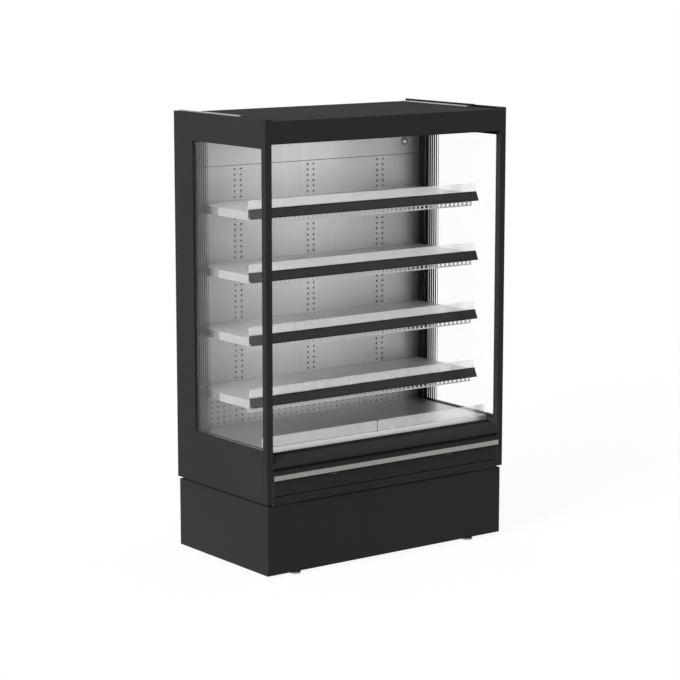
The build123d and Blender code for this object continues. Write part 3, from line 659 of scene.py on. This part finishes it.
def sensor_dome():
    """The domed cover over the sensor port."""
    mesh = bmesh.new()
    low, high = box_mm("sensor_port")
    x, z = (low.x + high.x) / 2, (low.z + high.z) / 2
    radius, rise, seat_y = 17.4, 16.5, low.y + 0.4
    around, steps = 48, 12
    turns = [2 * math.pi * n / around for n in range(around)]
    rings = []
    for step in range(steps):
        angle = math.radians(90 * step / steps)
        across, y = radius * math.cos(angle), seat_y - rise * math.sin(angle)
        circle = [(x + across * math.cos(turn), y, z + across * math.sin(turn)) for turn in turns]
        rings.append(ring(mesh, circle))
    tip = ring(mesh, [(x, seat_y - rise, z)])[0]
    for one, two in zip(rings, rings[1:]):
        band(mesh, one, two)
    for n in range(around):
        mesh.faces.new((rings[-1][n], rings[-1][(n + 1) % around], tip))
    mesh.faces.new(rings[0][::-1])
    return mesh


def ticket_lips(top):
    """The thin lips that hold a ticket, along both edges of the sloping face."""
    mesh = bmesh.new()
    high = Vector((TICKET_Y - TICKET_EDGE, top + TICKET_RISE))
    low = Vector((TICKET_Y - TICKET_RUN, top - TICKET_DROP))
    length, along = (low - high).length, (low - high).normalized()
    out = Vector((along.y, -along.x))
    depth = 0.3
    for begin, end, proud in ((-0.6, 3.8, 1.2), (length - 3.6, length - 0.4, 1.0)):
        base, tip = high + along * begin, high + along * end
        outline = (base - out * depth, base + out * proud, tip + out * proud, tip - out * depth)
        run(mesh, outline, -SHELF_HALF, SHELF_HALF)
    return mesh


def shelf_brackets(top):
    """The side brackets behind a shelf's flanges, with their screws."""
    mesh = bmesh.new()
    foot = top - TRAY_FLANGE - BRACKET_TOE
    for side in (-1, 1):
        for inner, outer, front, back, drop, rise in BRACKET_BLOCKS:
            side_slab(mesh, side, SHELF_HALF - inner, SHELF_HALF - outer, front, back,
                      foot + rise, top - drop)
        for y in SCREW_PLACES:
            place = Vector((side * (SHELF_HALF - SCREW_INSET), y, top - SCREW_DROP))
            matrix = Matrix.Translation(place * MM)
            matrix = matrix @ Matrix.Rotation(math.radians(90), 4, "Y")
            bmesh.ops.create_cone(
                mesh, cap_ends=True, segments=20, radius1=SCREW_RADIUS * MM,
                radius2=SCREW_RADIUS * MM, depth=SCREW_HEAD * MM, matrix=matrix,
            )
    return mesh


def front_stop(x0, x1, rear, floor):
    """A clear stop with rounded upper corners, standing behind a front edge."""
    mesh = bmesh.new()
    steps = 6
    bottom = floor + STOP_LIFT
    corner_z = bottom + STOP_HEIGHT - STOP_CORNER
    outline = [(x0, bottom), (x1, bottom)]
    for corner_x, turn in ((x1 - STOP_CORNER, 0), (x0 + STOP_CORNER, 90)):
        for n in range(steps + 1):
            angle = math.radians(turn + 90 * n / steps)
            across, up = STOP_CORNER * math.cos(angle), STOP_CORNER * math.sin(angle)
            outline.append((corner_x + across, corner_z + up))
    front = rear - STOP_THICKNESS
    closed(mesh, [(x, front, z) for x, z in outline], [(x, rear, z) for x, z in outline])
    return mesh


def strip_end(side):
    """The folded end of the rub strip, with its raised pad."""
    mesh = bmesh.new()
    low, high = box_mm("bumper_strip")
    face = high.x - 0.1
    for thickness, proud, back_gap, margin in ((3, 0.5, 0, 0.1), (1.5, 0.9, 3, 2)):
        side_slab(mesh, side, face - thickness, face, low.y - proud, high.y - back_gap,
                  low.z + margin, high.z - margin)
    return mesh


def lock_mark(name):
    """The pale turning mark beside a lock: a line and a short bar across its end."""
    mesh = bmesh.new()
    low, high = box_mm(f"key_lock_{name}")
    radius = (high.z - low.z) / 2
    x, z = low.x + radius, low.z + radius
    face = box_mm("service_panel")[0].y
    front, back = face - 0.3, face + 0.1
    for start_x, end_x, half in ((11, 30, 1.4), (30.6, 33.6, 2.6)):
        slab(mesh, (x + start_x, front, z - half), (x + end_x, back, z + half))
    return mesh


def casing_seams():
    """The lapped joints and stiffening ribs of the rear casing."""
    mesh = bmesh.new()
    _, high = box_mm("rear_casing")
    base_y, lap_y, crown_y = high.y - 0.2, high.y + 1.2, high.y + 2.6
    half, slope = high.x - 1, 6
    for z in CASING_LAPS:
        slab(mesh, (-half, base_y, z - LAP_WIDTH / 2), (half, lap_y, z + LAP_WIDTH / 2))
    starts = (RIB_BOTTOM, *(z + RIB_GAP for z in CASING_LAPS))
    ends = (*(z - RIB_GAP for z in CASING_LAPS), RIB_TOP)
    for x in RIB_PLACES:
        for z0, z1 in zip(starts, ends):
            corners = ((-RIB_HALF, z0), (RIB_HALF, z0), (RIB_HALF, z1), (-RIB_HALF, z1))
            base = [(x + off, base_y, z) for off, z in corners]
            crown = [
                (x + off / 2, crown_y, z + (slope if z == z0 else -slope)) for off, z in corners
            ]
            closed(mesh, base, crown)
    return mesh


# Pieces of trim, with their looks

stop_clear = acrylic("clear_acrylic")
enamel = moulded("glass_enamel_black", (0.010, 0.010, 0.011), 0.35, 0.3, 300)
enamel_outside = moulded("glass_enamel_grey", (0.042, 0.042, 0.043), 0.5, 0.1, 300)
bar_grey = moulded("spacer_bar_grey", (0.16, 0.16, 0.16), 0.5, 0.2, 300)
# Black for the strip that paints the shade under the deck's lip.
under_lip_black = moulded("lip_shade_black", (0.018, 0.018, 0.018), 0.8, 0.03, 500)
# Black for the painted shade strips on the rails' webs, and for the wall's seam joint with its
# painted fold shade.
joint_and_shade_black = moulded("rail_inlay_black", (0.012, 0.012, 0.012), 0.7, 0.05, 500)
cover_steel = brushed("sensor_cover_steel", (0.50, 0.505, 0.51), ALONG_Z, 0.12, 0.9, 0.04, 0.02)
# Black of the sheets that paint the shade inside the duct.
shade_sheet_black = moulded("black_duct_shade", (0.008, 0.008, 0.008), 0.9, 0.02, 300)
lip_black = moulded("ticket_lip_black", (0.004, 0.004, 0.004), 0.4, 0.2)
bracket_steel = zinc("bracket_steel_grey", (0.27, 0.27, 0.265), 0.45, 0.4, 160)
# Paler than the strip's own steel: a painted highlight on its ends.
end_highlight_steel = brushed("strip_end_steel", (0.55, 0.53, 0.51), ALONG_Z, 0.3, 0.8)
mark_pale = moulded("lock_mark_pale", (0.22, 0.22, 0.215), 0.5, 0.3)

for name, side in (("left", -1), ("right", 1)):
    glass = looks["clear_glass"]
    piece(f"outer_pane_{name}", outer_pane(side), "cabinet", glass, 0.4)
    for layer, bands, face, low, high in (
        ("inner", INNER_BANDS, PANE_INNER, PANE_BOTTOM, PANE_TOP),
        ("outer", OUTER_BANDS, OUTER_PANE, WINDOW_BOTTOM, WINDOW_TOP),
    ):
        printed = piece(
            f"glass_print_{layer}_{name}", glass_print(side, bands, face, low, high),
            "cabinet", enamel, 0,
        )
        show_outside(printed, side, enamel_outside)
    piece(f"spacer_bar_{name}", spacer_bar(side), "cabinet", bar_grey, 0)
    piece(f"rail_inlay_{name}", rail_shade_strip(side), "cabinet", joint_and_shade_black, 0.2)
    piece(f"glazing_channel_{name}", glazing_channel(side), "cabinet", enamel)
    piece(f"strip_end_{name}", strip_end(side), "cabinet", end_highlight_steel, 0.4)
    piece(f"lock_mark_{name}", lock_mark(name), "service_door", mark_pale, 0.1)

for number in range(1, SHELF_COUNT + 1):
    top = box_mm(f"shelf_tray_{number}")[0].z + TRAY_FLANGE
    piece(
        f"ticket_lips_{number}", ticket_lips(top),
        f"ticket_{number}", lip_black, 0.3,
    )
    piece(
        f"shelf_brackets_{number}", shelf_brackets(top),
        f"shelf_{number}", bracket_steel,
    )
    stop_end = SHELF_HALF - SHELF_STOP_INSET
    piece(
        f"front_stop_{number}",
        front_stop(-stop_end, stop_end, TICKET_Y + SHELF_STOP_SETBACK, top),
        f"shelf_{number}", stop_clear, 0.2,
    )

for name in ("left", "right"):
    low, high = box_mm(f"deck_plate_{name}")
    x0, x1 = low.x + DECK_STOP_INSET, high.x - DECK_STOP_INSET
    rear = low.y + LIP_OVERHANG + DECK_STOP_SETBACK
    piece(
        f"deck_stop_{name}", front_stop(x0, x1, rear, DECK_TOP),
        f"deck_{name}", stop_clear, 0.2,
    )

piece("casing_seams", casing_seams(), "cabinet", looks["galvanised"])
piece("wall_seam", wall_seam(), "cabinet", joint_and_shade_black, 0)
piece("lip_shade_strip", lip_shade_strip(), "cabinet", under_lip_black, 0)
piece("duct_shade_sheets", duct_shade_sheets(), "cabinet", shade_sheet_black, 0)
piece("sensor_dome", sensor_dome(), "cabinet", cover_steel, 0)


# Studio


def floor_look():
    """Pale floor: white with a faint shadow where it is seen, and grey in the light it sends back."""
    made, tree, shader = start("pale_floor")
    shader.inputs["Base Color"].default_value = grey(0.42)
    shader.inputs["Roughness"].default_value = 1
    shader.inputs["Specular IOR Level"].default_value = 0
    glow = add(tree, "ShaderNodeEmission")
    glow.inputs["Color"].default_value = grey(1)
    glow.inputs["Strength"].default_value = 0.93
    film = add(tree, "ShaderNodeBsdfDiffuse")
    film.inputs["Color"].default_value = grey(0.11)
    both = add(tree, "ShaderNodeAddShader")
    tree.links.new(glow.outputs["Emission"], both.inputs[0])
    tree.links.new(film.outputs["BSDF"], both.inputs[1])
    seen = directly_seen(tree)
    show(tree, blend_shaders(tree, seen, shader.outputs["BSDF"], both.outputs["Shader"]))
    return made


FLOOR_REACH = 250
FLOOR_DROP = 0.0004

ground = bmesh.new()
bmesh.ops.create_grid(
    ground, x_segments=1, y_segments=1, size=FLOOR_REACH,
    matrix=Matrix.Translation((0, 0, -FLOOR_DROP)),
)
floor_data = bpy.data.meshes.new("floor")
ground.to_mesh(floor_data)
ground.free()
floor = bpy.data.objects.new("floor", floor_data)
bpy.context.scene.collection.objects.link(floor)
floor.data.materials.append(floor_look())

world = bpy.data.worlds.new("studio")
bpy.context.scene.world = world
world.use_nodes = True
sky = world.node_tree
background = sky.nodes["Background"]
background.inputs["Strength"].default_value = 1
backdrop = blend_colour(sky, directly_seen(sky), (0.34, 0.34, 0.345), (1.0, 1.0, 1.0))
sky.links.new(backdrop, background.inputs["Color"])

TO_KEY = Vector((-0.80, -0.225, 0.40))

key_data = bpy.data.lights.new("key", "SUN")
key_data.energy = 2.14
key_data.angle = math.radians(35)
key = bpy.data.objects.new("key", key_data)
key.rotation_euler = TO_KEY.to_track_quat("Z", "Y").to_euler()
bpy.context.scene.collection.objects.link(key)

GLOW_DROP = 0.004  # canopy light under its diffuser

glow_data = bpy.data.lights.new("canopy_light", "AREA")
glow_data.shape = "RECTANGLE"
glow_data.size = 1.16
glow_data.size_y = 0.024
glow_data.energy = 0.65
glow = bpy.data.objects.new("canopy_light", glow_data)
lamp_low, lamp_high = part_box("lamp_diffuser")
lamp_middle = (lamp_low + lamp_high) / 2
glow.location = (lamp_middle.x, lamp_middle.y, lamp_low.z - GLOW_DROP)
bpy.context.scene.collection.objects.link(glow)

bpy.context.scene.view_settings.view_transform = "Standard"
